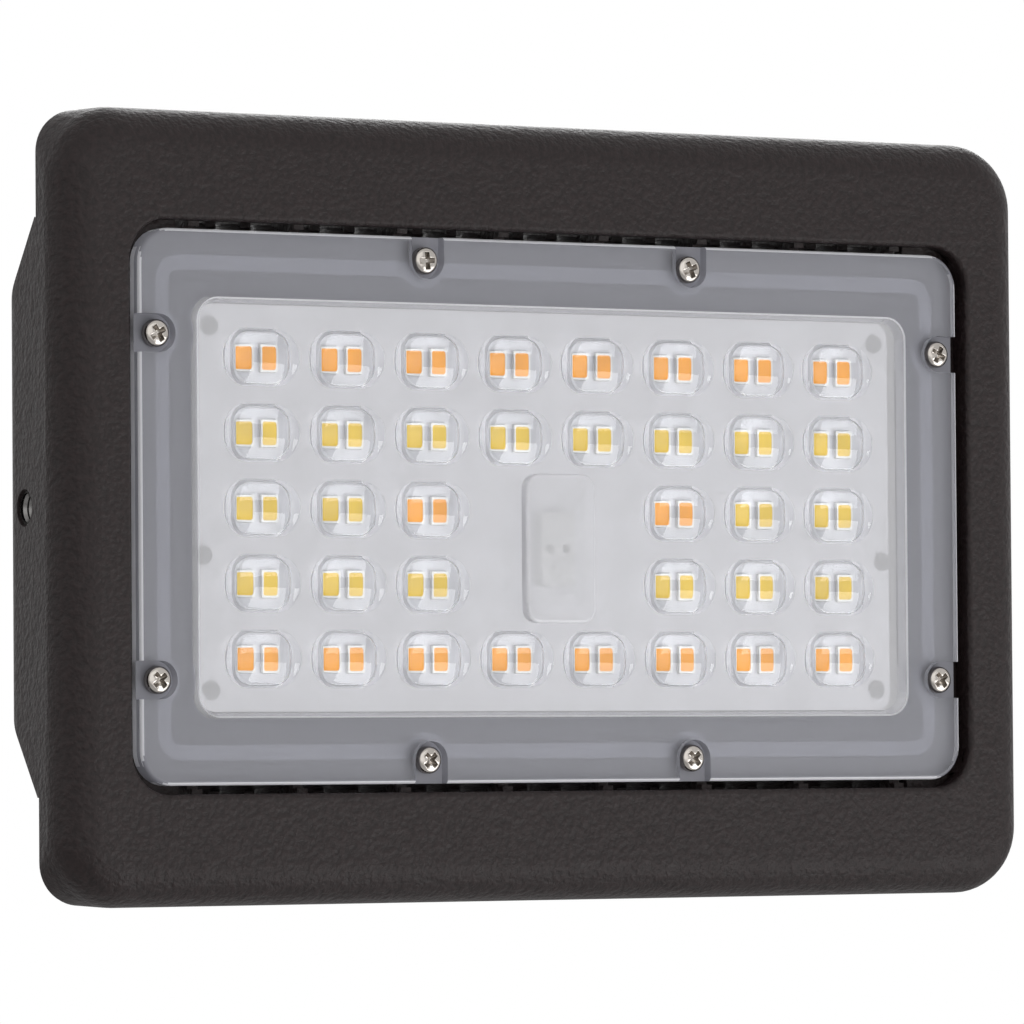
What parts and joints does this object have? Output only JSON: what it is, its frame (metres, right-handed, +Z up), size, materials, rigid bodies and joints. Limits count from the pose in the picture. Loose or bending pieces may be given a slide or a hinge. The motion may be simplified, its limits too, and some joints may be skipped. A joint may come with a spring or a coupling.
{
  "type": "outdoor floodlight",
  "caption": "Rectangular outdoor floodlight: a vented cast housing round a moulded optic over a two-tone diode board, on a rear tilting knuckle with a threaded pipe nipple.",
  "frame": {"origin": "on the axis of the threaded nipple, at the shoulder of the knuckle arm that meets the wall box", "axes": "+Y along the nipple out of the shoulder, so the light shines toward -Y; +Z up; +X to the right seen from the front"},
  "size_m": [0.233, 0.108, 0.158],
  "materials": {
    "powder_coat": "matte",
    "clear_optic": "gloss",
    "silicone": "matte",
    "bright_screw": "polished",
    "white_board": "matte",
    "warm_phosphor": "satin",
    "cool_phosphor": "satin",
    "white_plastic": "matte",
    "thermal_silicone": "matte",
    "red_wire": "satin",
    "driver_case": "matte",
    "black_rubber": "matte",
    "black_plastic": "satin",
    "green_board": "satin"
  },
  "bodies": {
    "arm": {"knuckle_arm": "powder_coat", "nipple_gasket": "black_rubber"},
    "head": {"housing": "powder_coat", "optic_lens": "clear_optic", "lens_gasket": "silicone", "lens_screws": "bright_screw", "led_board": "white_board", "warm_leds": "warm_phosphor", "cool_leds": "cool_phosphor", "board_screws": "bright_screw", "board_connector": "white_plastic", "thermal_pad": "thermal_silicone", "led_leads": "red_wire", "driver": "driver_case", "driver_screws": "bright_screw", "rear_cover": "powder_coat", "cover_gasket": "black_rubber", "cover_screws": "bright_screw", "cable_gland": "black_plastic", "gland_seal": "black_rubber", "gland_nut": "black_plastic", "breather_vent": "black_plastic", "selector_board": "green_board", "selector_board_screws": "bright_screw", "cct_switch": "black_plastic", "knuckle_base": "powder_coat", "knuckle_base_screws": "bright_screw", "knuckle_bolt": "bright_screw", "knuckle_nut": "bright_screw", "gland_locknut": "black_plastic"},
    "cct_slider": {"cct_slider": "white_plastic"},
    "selector_cap": {"selector_cap": "black_rubber"}
  },
  "joints": [
    {"name": "knuckle_tilt", "type": "hinge", "parent": "arm", "child": "head", "pos_m": [0, -0.03, 0], "axis": [1, 0, 0], "range_deg": [-90, 90]},
    {"name": "cct_select", "type": "slide", "parent": "head", "child": "cct_slider", "axis": [1, 0, 0], "range_m": [-0.0025, 0.0025]},
    {"name": "cap_off", "type": "slide", "parent": "head", "child": "selector_cap", "axis": [0, 1, 0], "range_m": [0, 0.025]}
  ]
}
